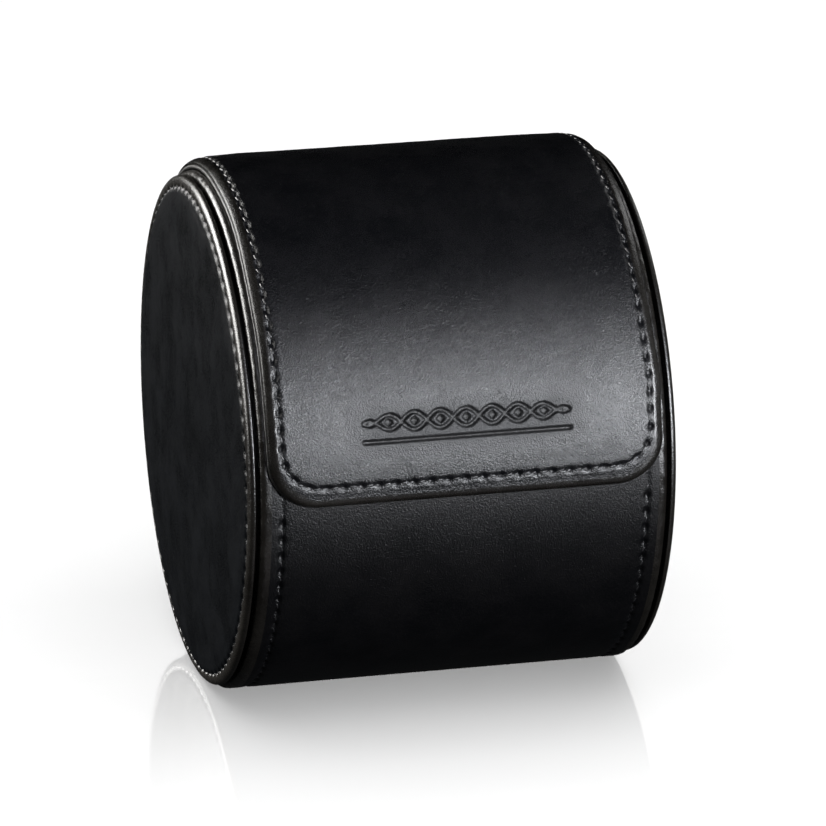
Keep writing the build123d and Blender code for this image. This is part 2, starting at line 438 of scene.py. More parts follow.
def ornament(x, arc):
    """How much of a plain blind-pressed braid with a rule under it is at each point, 0 to 1."""
    up = arc - ORNAMENT_ARC
    taper = np.clip(1 - (np.abs(x) / ORNAMENT_HALF) ** 6, 0, 1)
    wave = BRAID_HEIGHT * taper
    angle = 2 * pi * x / BRAID_PERIOD
    distance = np.full(len(x), 9.0)
    for turn in (1, -1):
        slope = np.hypot(1, wave * 2 * pi / BRAID_PERIOD * np.sin(angle))
        distance = np.minimum(distance, np.abs(up - turn * wave * np.cos(angle)) / slope)
    distance = np.where(np.abs(x) < ORNAMENT_HALF, distance, 9.0)
    eye_x = np.abs(x) / BRAID_PERIOD * 2 % 1
    eye_x = np.abs(eye_x - np.round(eye_x)) * BRAID_PERIOD / 2
    eye = np.abs(up) * 0.9 + eye_x
    eyes = np.where(np.abs(x) < ORNAMENT_HALF - 2.5, eye - 0.45, 9.0)
    distance = np.minimum(distance, eyes)
    rule = np.where(np.abs(x) < ORNAMENT_HALF, np.abs(up + RULE_DROP), 9.0)
    distance = np.minimum(distance, rule)
    return 1 - step_up(distance, LINE_WIDTH / 2 - 0.12, LINE_WIDTH / 2 + 0.12)


def plate(x, arc):
    """How far the hot press that made the ornament reached, 0 to 1."""
    side = step_up(ORNAMENT_HALF + 5 - np.abs(x), 0, 8)
    return side * step_up(6.2 - np.abs(arc - ORNAMENT_ARC + 1.2), 0, 5)


def flap_height(x, arc):
    """How far the flap's leather stands above or below its even surface."""
    inset = FLAP_OUTLINE.inside(x, arc)
    inside_seam = FLAP_SEAM.inside(x, arc)
    height = -pressed(x, arc, np.abs(inside_seam), FLAP_HOLES)
    height -= RIM_DROP * (1 - step_up(inside_seam, -1.7, 0.5))
    height += CROWN * step_up(inset, 3, 9)
    height += 0.05 * waves(x, arc, (19, 27, 34, 41), 3) * step_up(inset, 1, 6)
    height += 0.018 * waves(x, arc, (3.1, 4.3, 5.7, 7.2, 8.8), 5)
    height -= PLATE_DEPTH * plate(x, arc) + ORNAMENT_DEPTH * ornament(x, arc)
    return height


def edge_sway(x, arc, inset):
    """The long edges aren't cut quite straight, and the right one bulges near the front."""
    near_edge = np.exp(-np.maximum(inset, 0) / 4)
    sway = 0.10 * np.sin(arc / 9.5 + np.sign(x)) + 0.07 * np.sin(arc / 4.1 + 2 * np.sign(x))
    bulge = 0.34 * np.exp(-((arc - 17.5) / 3.6) ** 2) * (x > 0)
    wide = step_up(np.abs(x), 12, FLAP_HALF_WIDTH)
    return np.sign(x) * wide * near_edge * (sway + bulge)


def end_inset(inset):
    """The inset from the front and back edges that goes with this inset from the long edges."""
    extra = SEAM_END_INSET - SEAM_SIDE_INSET
    return inset + extra * float(step_up(inset, 0.9, SEAM_SIDE_INSET))


def flap_panel(material, trim):
    """The flap's outer leather with its turned edge, pressed seam and ornament."""
    inner_inset = FLAP_CORNER + 0.1
    inner_end = end_inset(inner_inset)
    inner_half = FLAP_HALF_WIDTH - inner_inset
    dense = ORNAMENT_HALF + 1
    x_shares = shares_of([-inner_half, -dense, dense, inner_half], [0.5, 0.26, 0.5])
    arc_shares = shares_of(
        [inner_end, ORNAMENT_ARC + 3, FLAP_ARC / 2, FLAP_ARC - inner_end], [0.2, 0.44, 0.52])
    surface = Surface()
    edge = [(FLAP_BOARD_INSET, -LEATHER), (FLAP_BOARD_INSET, -EDGE_THICK), (0.5, -EDGE_THICK)]
    edge += [(inset, -EDGE_THICK - height) for inset, height in roll(0.4, EDGE_BOTTOM, 4)[::-1]]
    edge += roll(EDGE_WIDTH, EDGE_TOP, 14)[1:]
    edge_loops = len(edge)
    insets = list(np.linspace(EDGE_WIDTH + 0.12, 2.8, 12))
    insets += list(np.linspace(3.05, 4.3, 5)) + list(np.linspace(5, inner_inset - 0.4, 4))
    loops = []
    for inset, height in edge + [(inset, 0) for inset in insets]:
        end = end_inset(inset)
        outline = RoundedRect(FLAP_HALF_WIDTH - inset, end, FLAP_ARC - end, FLAP_CORNER - inset)
        loops.append(surface.add_level(outline.loop(x_shares, arc_shares), height))
    surface.strips(loops)
    inner = RoundedRect(inner_half, inner_end, FLAP_ARC - inner_end, 0)
    surface.fill(loops[-1], inner, x_shares, arc_shares)
    front, right, back, left = loop_sides(loops[0], len(x_shares) - 1, len(arc_shares) - 1)
    surface.strip(left, right, closed=False)
    surface.polygon(front)
    surface.polygon(back)

    points = surface.points()
    x, arc, height = points.T
    inset = FLAP_OUTLINE.inside(x, arc)
    top = np.ones(len(points), bool)
    top[:loops[edge_loops - 1][0]] = False
    lift = flap_height(x, arc)
    height = height + np.where(top, lift, lift * step_up(height, -EDGE_TOP, 0))
    thick_end = np.arange(len(points)) < len(loops[0])
    height[thick_end] -= (EDGE_THICK - LEATHER) * step_up(
        arc[thick_end], FLAP_BOARD_END * FLAP_RADIUS, FLAP_BOARD_END * FLAP_RADIUS + 1)
    x = x + edge_sway(x, arc, inset)
    values = {
        "pressed": np.where(top, plate(points[:, 0], arc), 0),
        "stroke": np.where(top, ornament(points[:, 0], arc), 0),
        "edge": 1 - step_up(inset, 0.8, 2.0)}
    placed = on_drum(x, arc, height, FLAP_RADIUS)
    return mesh_object("flap_panel", surface, material, placed, values, trim)


def flap_lining_sheet(material):
    """The flap's inner leather, a little wider than the rolled edge, so that its cut edge shows."""
    half_thick = (FLAP_LINING_OUTER - FLAP_LINING_INNER) / 2
    half_width = FLAP_HALF_WIDTH + LINING_REACH
    front = 0.12
    back = FLAP_ARC - 1.2
    x_shares = shares_of([-1, 1], [0.03])
    arc_shares = shares_of([0, FLAP_ARC], [0.5])
    surface = Surface()
    profile = [(inset, -half_thick) for inset in (8, 6, 4, 2, 0.6, 0.1)]
    profile += [(0.0, -half_thick + 0.08), (0.0, half_thick - 0.1), (0.12, half_thick)]
    profile += [(inset, half_thick) for inset in (0.6, 2, 4, 6, 8)]
    loops = []
    for inset, height in profile:
        outline = RoundedRect(half_width - inset, inset - front, back - inset, FLAP_CORNER - inset)
        loops.append(surface.add_level(outline.loop(x_shares, arc_shares), height))
    surface.strips(loops)
    inner_inset = 8.2
    inner = RoundedRect(half_width - inner_inset, inner_inset - front, back - inner_inset, 0)
    surface.fill(loops[0], inner, x_shares, arc_shares, -half_thick)
    surface.fill(loops[-1], inner, x_shares, arc_shares, half_thick)
    points = surface.points()
    x, arc, height = points.T
    inset = FLAP_OUTLINE.inside(x, arc) + LINING_REACH
    ruffle = 0.05 * waves(x, arc, (1.7, 2.3, 3.1), 11) * (1 - step_up(inset, 0, 1.5))
    x = x + edge_sway(x, arc, inset) + np.sign(x) * ruffle * (np.abs(x) > 20)
    middle_radius = (FLAP_LINING_INNER + FLAP_LINING_OUTER) / 2
    placed = on_drum(x, arc * middle_radius / FLAP_RADIUS, height + 0.5 * ruffle, middle_radius)
    return mesh_object("flap_lining_sheet", surface, material, placed)


# ---- the body: a tube with a window, in leather outside and velour inside ----
def windowed_tube(base, half_width, end_profile, mouth_profile, step):
    """A tube with a mouth, as a Surface of (x, arc, height).

    end_profile is (inset, height) from the hidden inside round the end and on along the face, and
    mouth_profile the same from the face round the mouth's edge to the hidden inside."""
    margin = 1.0
    mouth_start = MOUTH_FRONT * base
    mouth_end = MOUTH_BACK * base
    around = 2 * pi * base
    rect_half = MOUTH_HALF_WIDTH + margin
    near = mouth_start - margin
    far = mouth_end + margin
    arc_shares = shares_of([near, far], [step])
    mouth_rows = near + (far - near) * arc_shares
    rest_rows = far + (around + near - far) * shares_of([far, near + around], [step])
    rows = np.concatenate([mouth_rows, rest_rows[1:-1]])
    x_shares = shares_of([-rect_half, rect_half], [0.85])
    middle_x = -rect_half + 2 * rect_half * x_shares
    inset, side_height = np.array(end_profile).T
    side_x = inset - half_width
    column_x = np.concatenate([side_x, middle_x, -side_x[::-1]])
    column_height = np.concatenate([side_height, np.zeros(len(middle_x)), side_height[::-1]])

    surface = Surface()
    numbers = surface.add(joined(column_x, rows[:, None], column_height))
    first = len(side_x)
    last = first + len(middle_x) - 1
    count = len(mouth_rows) - 1
    surface.strips(numbers[:count + 1, :first + 1], closed=False)
    surface.strips(numbers[:count + 1, last:], closed=False)
    rest = np.concatenate([numbers[count:], numbers[:1]])
    surface.strips(rest, closed=False)
    surface.strip(rest[:, 0], rest[:, -1], closed=False)

    loops = [border(numbers[:count + 1, first:last + 1])]
    for outset, height in mouth_profile:
        radius = MOUTH_CORNER * max(0, 1 - outset / margin)
        outline = RoundedRect(
            MOUTH_HALF_WIDTH + outset, mouth_start - outset, mouth_end + outset, radius)
        loops.append(surface.add_level(outline.loop(x_shares, arc_shares), height))
    surface.strips(loops)
    front, right, back, left = loop_sides(loops[-1], len(x_shares) - 1, count)
    surface.strip(numbers[:count + 1, 0], left, closed=False)
    surface.strip(numbers[:count + 1, -1], right, closed=False)
    surface.polygon([numbers[0, 0], numbers[0, -1], *front[::-1]])
    surface.polygon([numbers[count, 0], numbers[count, -1], *back])
    return surface


def circle_row(x, base, pitch):
    """Stitch places on a line right round the drum."""
    around = 2 * pi * base
    count = round(around / pitch)
    arcs = (np.arange(count) + 0.5) * around / count
    return joined(x, arcs, 0.0, 1.0)


def line_row(half, arc, pitch):
    """Stitch places on a line across the drum."""
    count = round(2 * half / pitch)
    xs = -half + (np.arange(count) + 0.5) * 2 * half / count
    return joined(xs, arc, 1.0, 0.0)


BODY_ROWS = {side: circle_row(sign * BODY_SEAM_X, BODY_RADIUS, STITCH_PITCH)
             for side, sign in (("left", -1), ("right", 1))}
LIP_ARC = MOUTH_FRONT * BODY_RADIUS - LIP_SEAM_INSET
LIP_ROW = line_row(BODY_SEAM_X - STITCH_PITCH / 2, LIP_ARC, STITCH_PITCH)


def body_leather(material, trim):
    """The body's leather, turned in round both ends and round the mouth."""
    wall = BODY_RADIUS - LINING_OUTER
    ends = [(LEATHER, -LEATHER), (LEATHER, -wall), (0.25, -wall), (0.0, -wall + 0.25), (0.0, -1.2)]
    ends += roll(1.1, 0.85, 12)
    insets = [1.25, 1.5, 1.8, 2.2, 2.6, 2.8, 3.0, 3.2, 3.4, 3.6, 3.8, 4.0, 4.15]
    ends += [(inset, 0.0) for inset in insets]
    mouth = [(0.75, 0), (0.6, 0)] + roll(0.45, 0.45, 6)[::-1]
    mouth += [(0.0, -wall + 0.3), (0.2, -wall), (LEATHER, -wall), (LEATHER, -LEATHER)]
    surface = windowed_tube(BODY_RADIUS, BODY_HALF_WIDTH, ends, mouth, 0.42)
    points = surface.points()
    x, arc, height = points.T.copy()
    around = 2 * pi * BODY_RADIUS
    wrapped = np.mod(arc, around)
    lift = np.zeros(len(x))
    for row in BODY_ROWS.values():
        lift -= pressed(x, wrapped, np.abs(x - row[0, 0]), holes_between(row)[:-1])
    lip_distance = np.abs(wrapped - LIP_ARC) + 9.0 * (np.abs(x) > BODY_SEAM_X)
    holes = (LIP_ROW[1:] + LIP_ROW[:-1]) / 2
    lift -= pressed(x, wrapped, lip_distance, holes)
    turn = arc / BODY_RADIUS
    lift += 0.03 * waves(x, 14 * np.sin(turn), (11, 17, 23), 21)
    edge = step_up(np.abs(x), BODY_HALF_WIDTH - 1.6, BODY_HALF_WIDTH - 0.3)
    crumple = 0.05 * np.sin(41 * turn + 3 * np.sin(7 * turn)) + 0.04 * np.sin(97 * turn + 1)
    lift += edge * crumple
    height += lift * step_up(height, -1.0, -0.2)
    placed = on_drum(x, arc, height, BODY_RADIUS)
    placed[:, 2] = np.maximum(placed[:, 2], 0.02)
    values = {"edge": step_up(np.abs(x), BODY_HALF_WIDTH - 2.2, BODY_HALF_WIDTH - 1.0)}
    return mesh_object("body_leather", surface, material, placed, values, trim)


def body_velour(material):
    """The lining inside the tube, with the soft edge of its pile."""
    base = LINING_OUTER - LINING
    ends = [(0.0, -LINING), (0.0, -0.3), (0.08, -0.1), (0.3, 0.0)]
    mouth = [(0.5, 0.0), (0.3, 0.0), (0.1, -0.1), (0.02, -0.3), (0.02, -LINING)]
    ends += [(inset, 0.0) for inset in (0.8, 1.6, 2.4, 3.0)]
    surface = windowed_tube(base, BOARD_HALF_WIDTH, ends, mouth, 0.9)
    points = surface.points()
    x, arc, height = points.T.copy()
    turn = arc / base
    height += 0.04 * waves(x, 16 * np.sin(turn), (9, 13, 19), 33) * (height > -0.2)
    placed = on_drum(x, arc, height, base, outwards=-1)
    return mesh_object("body_velour", surface, material, placed)


def body_threads(side, material):
    points, alongs, normals = drum_directions(BODY_ROWS[side], BODY_RADIUS, THREAD_HEIGHT)
    sign = 1 if side == "left" else -1
    keep = points[:, 2] > 0.6
    return stitches(
        side + "_body_threads", points[keep], alongs[keep], normals[keep], material, mirror=sign)


# ---- the end caps ----
CAP_ROLL_THICK = 1.35
CAP_ROLL_FRONT = 0.98
CAP_ROLL_BACK = 0.25
CAP_ROLL_RADIUS = CAP_RADIUS - 0.8
CAP_ROLL_X = CAP_BOARD_X + CAP_ROLL_BACK
CAP_STITCHES = 88
CAP_PITCH = 2 * pi / CAP_STITCHES
CAP_TURNS = (np.arange(CAP_STITCHES) + 0.5) * CAP_PITCH - pi


def dome_x(radius, centre_x, edge_x, edge_radius):
    """A shallow dome's distance along the axis at this radius."""
    rise = centre_x - edge_x
    sphere = (rise ** 2 + edge_radius ** 2) / (2 * rise)
    return centre_x - sphere + np.sqrt(np.maximum(sphere ** 2 - radius ** 2, 0))


def disc_grid(radius, quarter):
    """A square grid stretched to a disc, evenly spaced on its rim, as y and z."""
    turns = np.linspace(-pi / 4, pi / 4, quarter + 1)
    line = sqrt(2) * np.sin(turns)
    u, v = np.meshgrid(line, line)
    return np.dstack([radius * u * np.sqrt(1 - v ** 2 / 2), radius * v * np.sqrt(1 - u ** 2 / 2)])


def rounded(value):
    """Turns a circle's sine or cosine into a slightly squarer oval's."""
    return copysign(abs(value) ** 0.85, value)


def cap_cover(side, sign, material, trim):
    """An end cap's leather: a padded dome, a sewn valley and a rolled rim."""
    surface = Surface()
    quarter = 150
    flat_radius = CAP_SEAM_RADIUS - 2.4
    middle = disc_grid(flat_radius, quarter)
    numbers = surface.add(np.insert(middle, 0, 0, axis=-1))
    surface.strips(numbers, closed=False)
    rim = border(numbers)
    directions = surface.points()[rim][:, 1:] / flat_radius
    insets = [2.0, 1.6, 1.3, 1.05, 0.85, 0.68, 0.52, 0.36, 0.2, 0.05, -0.1, -0.25]
    profile = [(CAP_SEAM_RADIUS - inset, 0) for inset in insets]
    for turn in np.linspace(radians(94), radians(-90), 26):
        half = CAP_ROLL_FRONT if turn > 0 else CAP_ROLL_BACK
        profile.append(
            (CAP_ROLL_RADIUS + CAP_ROLL_THICK * rounded(cos(turn)),
             CAP_ROLL_X + half * rounded(sin(turn))))
    profile += [(CAP_ROLL_RADIUS, CAP_FACE_X), (CAP_PADDING_RADIUS, CAP_FACE_X)]
    inside_x = CAP_CENTRE_X - LEATHER
    for radius in (32, 22, 12):
        profile.append((radius, dome_x(radius, inside_x, CAP_FACE_X, CAP_PADDING_RADIUS)))
    loops = [rim]
    for radius, x in profile:
        loops.append(surface.add(np.insert(radius * directions, 0, x, axis=-1)))
    surface.strips(loops)
    surface.polygon(loops[-1])

    points = surface.points()
    radius = np.hypot(points[:, 1], points[:, 2])
    angle = np.arctan2(points[:, 2], points[:, 1])
    top = np.arange(len(points)) < numbers.size + len(insets) * len(rim)
    dome = dome_x(np.minimum(radius, CAP_SEAM_RADIUS), CAP_CENTRE_X, CAP_SEAM_X, CAP_SEAM_RADIUS)
    arc = angle * CAP_SEAM_RADIUS
    holes = joined(CAP_SEAM_RADIUS, (CAP_TURNS + CAP_PITCH / 2) * CAP_SEAM_RADIUS, 0.0, 1.0)
    press = pressed(radius, arc, np.abs(radius - CAP_SEAM_RADIUS), holes)
    uneven = 0.07 * waves(points[:, 1], points[:, 2], (13, 21, 29, 38), 40 + sign)
    uneven += 0.015 * waves(points[:, 1], points[:, 2], (2.9, 4.1, 5.3, 6.9), 50 + sign)
    uneven *= 1 - step_up(radius, CAP_SEAM_RADIUS - 5, CAP_SEAM_RADIUS)
    bank = 0.1 * step_up(CAP_SEAM_RADIUS - radius, 0.3, 3.0)
    points[:, 0] = np.where(top, dome - press + uneven + bank, points[:, 0])
    points[:, 0] *= sign
    points[:, 2] += CENTRE_Z
    values = {"edge": step_up(radius, CAP_SEAM_RADIUS - 0.3, CAP_SEAM_RADIUS + 0.3)}
    return mesh_object(side + "_cap_cover", surface, material, points, values, trim)


def cap_threads(side, sign, material):
    y = np.cos(CAP_TURNS)
    z = np.sin(CAP_TURNS)
    places = joined(
        sign * (CAP_SEAM_X - 0.2), CAP_SEAM_RADIUS * y, CENTRE_Z + CAP_SEAM_RADIUS * z)
    normals = joined(sign, np.zeros(CAP_STITCHES), 0.0)
    return stitches(
        side + "_cap_threads", places, joined(0.0, -z, y), normals, material, 1.4, 0.32,
        mirror=sign)


def revolved(profile, steps, sign):
    """The surface that (x, radius) corners in order sweep round the axis, and its loops."""
    surface = Surface()
    turns = np.linspace(0, 2 * pi, steps, endpoint=False)
    loops = []
    for x, radius in profile:
        loops.append(surface.add(joined(
            sign * x, radius * np.cos(turns), CENTRE_Z + radius * np.sin(turns))))
    surface.strips(loops)
    return surface, loops


def gusset_ring(side, sign, material):
    """The leather strip at the bottom of the groove between an end cap and the body."""
    inner = CAP_PADDING_RADIUS
    outer = inner + GUSSET
    flange = CAP_ROLL_RADIUS - 0.05
    bend = 0.4
    profile = [(MOUTH_HALF_WIDTH + 0.15, inner), (MOUTH_HALF_WIDTH, inner + 0.2)]
    profile += [(MOUTH_HALF_WIDTH, outer - 0.2), (MOUTH_HALF_WIDTH + 0.2, outer)]
    for turn in np.linspace(0, pi / 2, 6):
        profile.append((
            CAP_BOARD_X - bend + bend * sin(turn), outer + bend - bend * cos(turn)))
    profile += [(CAP_BOARD_X, flange), (CAP_FACE_X - 0.01, flange), (CAP_FACE_X - 0.01, inner)]
    surface, loops = revolved(profile, 360, sign)
    surface.strip(loops[-1], loops[0])
    return mesh_object(side + "_gusset_ring", surface, material)


def cap_foam(side, sign, material):
    """The thin foam that domes an end cap."""
    inside_x = CAP_CENTRE_X - LEATHER - 0.02
    edge = CAP_PADDING_RADIUS - 0.05
    radii = [edge, 36, 30, 24, 18, 12, 6]
    profile = [(dome_x(r, inside_x, CAP_FACE_X - 0.02, edge), r) for r in reversed(radii)]
    profile += [(CAP_BOARD_X + 0.01, edge), (CAP_BOARD_X + 0.01, 6)]
    surface, loops = revolved(profile, 180, sign)
    surface.polygon(loops[0])
    surface.polygon(loops[-1])
    return mesh_object(side + "_cap_foam", surface, material)


# ---- the watch cushion ----
CUSHION_SCALE = 20.0
CUSHION_CAP = 1.5
CUSHION_STEPS = 20
PIPING = 0.95


def cushion_outline(grow, count):
    """The cushion's oval section, flatter where it rests, as y and z."""
    width = (CUSHION_HIGH[1] - CUSHION_LOW[1]) / 2 - grow
    height = (CUSHION_HIGH[2] - CUSHION_LOW[2]) / 2 - grow
    centre = (CUSHION_HIGH[2] + CUSHION_LOW[2]) / 2
    turns = np.linspace(0, 2 * pi, count, endpoint=False)
    return joined(width * np.cos(turns), centre + height * np.sin(turns))


def swell(piece, half):
    """Blows a cushion up with a cloth simulation and applies it. It runs 20 times life size.

    The cushion is held where it is sewn, this far along the axis from its middle."""
    for vertex in piece.data.vertices:
        vertex.co *= CUSHION_SCALE
    start = np.array([vertex.co for vertex in piece.data.vertices])
    group = piece.vertex_groups.new(name="held")
    held = np.flatnonzero(np.abs(np.abs(start[:, 0] / CUSHION_SCALE / MM) - half) < 1.3)
    group.add([int(index) for index in held], 1.0, "REPLACE")
    cloth = piece.modifiers.new("cloth", "CLOTH")
    cloth.settings.vertex_group_mass = "held"
    cloth.settings.use_pressure = True
    cloth.settings.uniform_pressure_force = 3.0
    cloth.settings.effector_weights.gravity = 0
    cloth.settings.tension_stiffness = 12
    cloth.settings.compression_stiffness = 12
    cloth.settings.bending_stiffness = 2.0
    scene = bpy.context.scene
    for number in range(1, CUSHION_STEPS + 1):
        scene.frame_set(number)
    shape = piece.evaluated_get(bpy.context.evaluated_depsgraph_get()).data
    moved = np.array([vertex.co for vertex in shape.vertices])
    piece.modifiers.remove(cloth)
    scene.frame_set(1)
    shift = moved - start
    length = np.linalg.norm(shift, axis=1, keepdims=True)
    limit = CUSHION_CAP * MM * CUSHION_SCALE
    shift *= np.minimum(1, limit / np.maximum(length, 1e-9))
    settled = (start + shift) / CUSHION_SCALE
    piece.data.vertices.foreach_set("co", settled.ravel())
    piece.vertex_groups.clear()
    piece.data.update()


def cushion_pad(material):
    """The suede-covered cushion: an oval roll that swells between its two end seams."""
    shrink = 1.3
    half = CUSHION_HALF_LENGTH - 1.0
    surface = Surface()
    end = [(-half, 16.0), (-half, 8.0), (-half, 3.0), (-half + 0.15, 1.0), (-half + 0.6, 0.2)]
    profile = end + [(x, 0.0) for x in np.linspace(-half + 1.6, half - 1.6, 40)]
    profile += [(-x, inset) for x, inset in reversed(end)]
    loops = []
    for x, inset in profile:
        ring = cushion_outline(shrink + inset, 120)
        loops.append(surface.add(np.insert(ring, 0, x, axis=-1)))
    surface.polygon(loops[0])
    surface.strips(loops)
    surface.polygon(loops[-1])
    piece = mesh_object("cushion_pad", surface, material)
    remesh = piece.modifiers.new("even", "REMESH")
    remesh.mode = "VOXEL"
    remesh.voxel_size = 1.1 * MM
    apply_modifiers(piece)
    swell(piece, half)
    smooth = piece.modifiers.new("smooth", "SMOOTH")
    smooth.factor = 0.5
    smooth.iterations = 6
    apply_modifiers(piece)
    piece.data.shade_smooth()
    return piece


def apply_modifiers(piece):
    """Makes the modifiers' result the piece's own mesh."""
    shape = piece.evaluated_get(bpy.context.evaluated_depsgraph_get())
    mesh = bpy.data.meshes.new_from_object(shape)
    piece.modifiers.clear()
    piece.data = mesh


def cushion_piping(side, sign, material):
    """The covered cord sewn round one end of the cushion."""
    surface = Surface()
    count = 240
    line = cushion_outline(1.35, count)
    out = line - line.mean(axis=0)
    out /= np.linalg.norm(out, axis=1, keepdims=True)
    pucker = 1 + 0.06 * np.sin(np.arange(count) * 2 * pi / 6)
    x_middle = sign * (CUSHION_HALF_LENGTH - 1.25)
    loops = []
    for turn in np.linspace(0, 2 * pi, 14, endpoint=False):
        offset = (PIPING * sin(turn) * pucker)[:, None] * out
        x = x_middle + sign * PIPING * cos(turn)
        loops.append(surface.add(np.insert(line + offset, 0, x, axis=-1)))
    surface.strips(loops + loops[:1])
    return mesh_object(side + "_cushion_piping", surface, material)


# ---- materials ----
class Nodes:
    """A node material that is being put together."""

    def __init__(self, name):
        self.material = bpy.data.materials.new(name)
        self.material.use_nodes = True
        self.tree = self.material.node_tree
        self.tree.nodes.clear()
        self.place = self.add("ShaderNodeTexCoord").outputs["Object"]

    def add(self, kind, **inputs):
        """A node with its inputs set to values or linked to other nodes' outputs."""
        node = self.tree.nodes.new(kind)
        for key, value in inputs.items():
            self.put(node, key.replace("_", " "), value)
        return node

    def put(self, node, key, value):
        socket = node.inputs[key]
        if isinstance(value, bpy.types.NodeSocket):
            self.tree.links.new(value, socket)
        else:
            socket.default_value = value

    def scaled(self, x, y, z):
        """Object coordinates stretched by these factors."""
        mapping = self.add("ShaderNodeMapping", Vector=self.place, Scale=(x, y, z))
        return mapping.outputs["Vector"]

    def noise(self, size, detail=2.0, roughness=0.5, vector=None):
        """Even noise with spots of this size in millimetres."""
        node = self.add(
            "ShaderNodeTexNoise", Vector=vector or self.place, Scale=1 / (size * MM),
            Detail=detail, Roughness=roughness)
        return node.outputs["Fac"]

    def cells(self, size, feature="SMOOTH_F1", vector=None):
        """Rounded cells of this size in millimetres, for leather grain."""
        node = self.add("ShaderNodeTexVoronoi", Vector=vector or self.place, Scale=1 / (size * MM))
        node.feature = feature
        return node.outputs["Distance"]

    def ramp(self, value, low, high, to_low=0.0, to_high=1.0):
        node = self.add(
            "ShaderNodeMapRange", Value=value, From_Min=low, From_Max=high, To_Min=to_low,
            To_Max=to_high)
        return node.outputs["Result"]

    def math(self, operation, first, second):
        node = self.tree.nodes.new("ShaderNodeMath")
        node.operation = operation
        self.put(node, 0, first)
        self.put(node, 1, second)
        return node.outputs["Value"]

    def colour(self, share, first, second):
        """A colour between two colours."""
        node = self.tree.nodes.new("ShaderNodeMix")
        node.data_type = "RGBA"
        self.put(node, 0, share)
        for key, value in ((6, first), (7, second)):
            self.put(node, key, value if isinstance(value, bpy.types.NodeSocket) else (*value, 1))
        return node.outputs[2]

    def attribute(self, name):
        node = self.tree.nodes.new("ShaderNodeAttribute")
        node.attribute_name = name
        return node.outputs["Fac"]

    def bump(self, height, distance, strength=1.0, normal=None):
        node = self.add("ShaderNodeBump", Height=height, Strength=strength, Distance=distance * MM)
        if normal is not None:
            self.put(node, "Normal", normal)
        return node.outputs["Normal"]

    def finish(self, colour, roughness, normal, metallic=0.0, sheen=0.0, specular=0.5):
        shader = self.add(
            "ShaderNodeBsdfPrincipled", Roughness=roughness, Normal=normal, Base_Color=colour,
            Metallic=metallic, Sheen_Weight=sheen, Sheen_Roughness=0.4, Specular_IOR_Level=specular)
        output = self.add("ShaderNodeOutputMaterial", Surface=shader.outputs["BSDF"])
        output.is_active_output = True
        return self.material


def leather(name, dark, light, rough, grain=1.0, specular=0.5):
    """Smooth black calf: fine pores over soft mottling, rougher where the hot press stood."""
    n = Nodes(name)
    pores = n.cells(0.24)
    fine = n.noise(0.15, 2.0, 0.6)
    cloud = n.noise(8.0, 4.0, 0.62)
    hair = n.noise(1.0, 3.0, 0.6, n.scaled(1.4, 0.9, 0.24))
    mottle = n.math("MULTIPLY", n.ramp(cloud, 0.35, 0.65), n.ramp(hair, 0.3, 0.7, 0.45, 1.0))
    colour = n.colour(mottle, dark, light)
    # Darker in the pressed strokes: partly leather darkened by the hot press, partly painted shade
    # in the recessed strokes.
    colour = n.colour(n.attribute("stroke"), colour, (0.0008, 0.0008, 0.0009))
    spread = n.math("ADD", n.ramp(fine, 0.3, 0.7, rough - 0.05, rough + 0.06),
                    n.ramp(cloud, 0.35, 0.65, -0.02, 0.03))
    roughness = n.math("ADD", spread, n.math("MULTIPLY", n.attribute("pressed"), 0.2))
    skin = n.bump(pores, 0.07 * grain, 0.9)
    skin = n.bump(fine, 0.065 * grain, 0.9, skin)
    skin = n.bump(cloud, 0.9, 0.12, skin)
    return n.finish(colour, roughness, skin, specular=specular)


def thread_material():
    """Waxed black thread, twisted from strands."""
    n = Nodes("thread")
    strands = n.noise(0.09, 2.0, 0.5, n.scaled(1.0, 1.6, 0.7))
    fluff = n.noise(0.3, 3.0, 0.6)
    colour = n.colour(n.ramp(fluff, 0.3, 0.7), (0.003, 0.003, 0.0034), (0.008, 0.008, 0.0088))
    roughness = n.ramp(strands, 0.3, 0.7, 0.24, 0.4)
    return n.finish(colour, roughness, n.bump(strands, 0.05, 0.8), specular=0.9)


def velour(name, dark, light, size=0.22, sheen=0.35):
    """Short dense pile that catches the light at its edges."""
    n = Nodes(name)
    pile = n.noise(size, 3.0, 0.7)
    brushed = n.noise(7.0, 3.0, 0.55)
    share = n.math(
        "MULTIPLY", n.ramp(pile, 0.25, 0.75, 0.4, 1.0), n.ramp(brushed, 0.3, 0.7, 0.4, 1.0))
    colour = n.colour(share, dark, light)
    roughness = n.ramp(pile, 0.2, 0.8, 0.82, 0.98)
    return n.finish(colour, roughness, n.bump(pile, 0.12, 0.8), sheen=sheen, specular=0.2)


def even_material(n, pattern, dark, light, rough, bump, span=(0.3, 0.7), metallic=0.0):
    """A material whose colour, roughness and bumps follow one pattern."""
    colour = n.colour(n.ramp(pattern, *span), dark, light)
    return n.finish(colour, n.ramp(pattern, *span, *rough), n.bump(pattern, *bump), metallic)


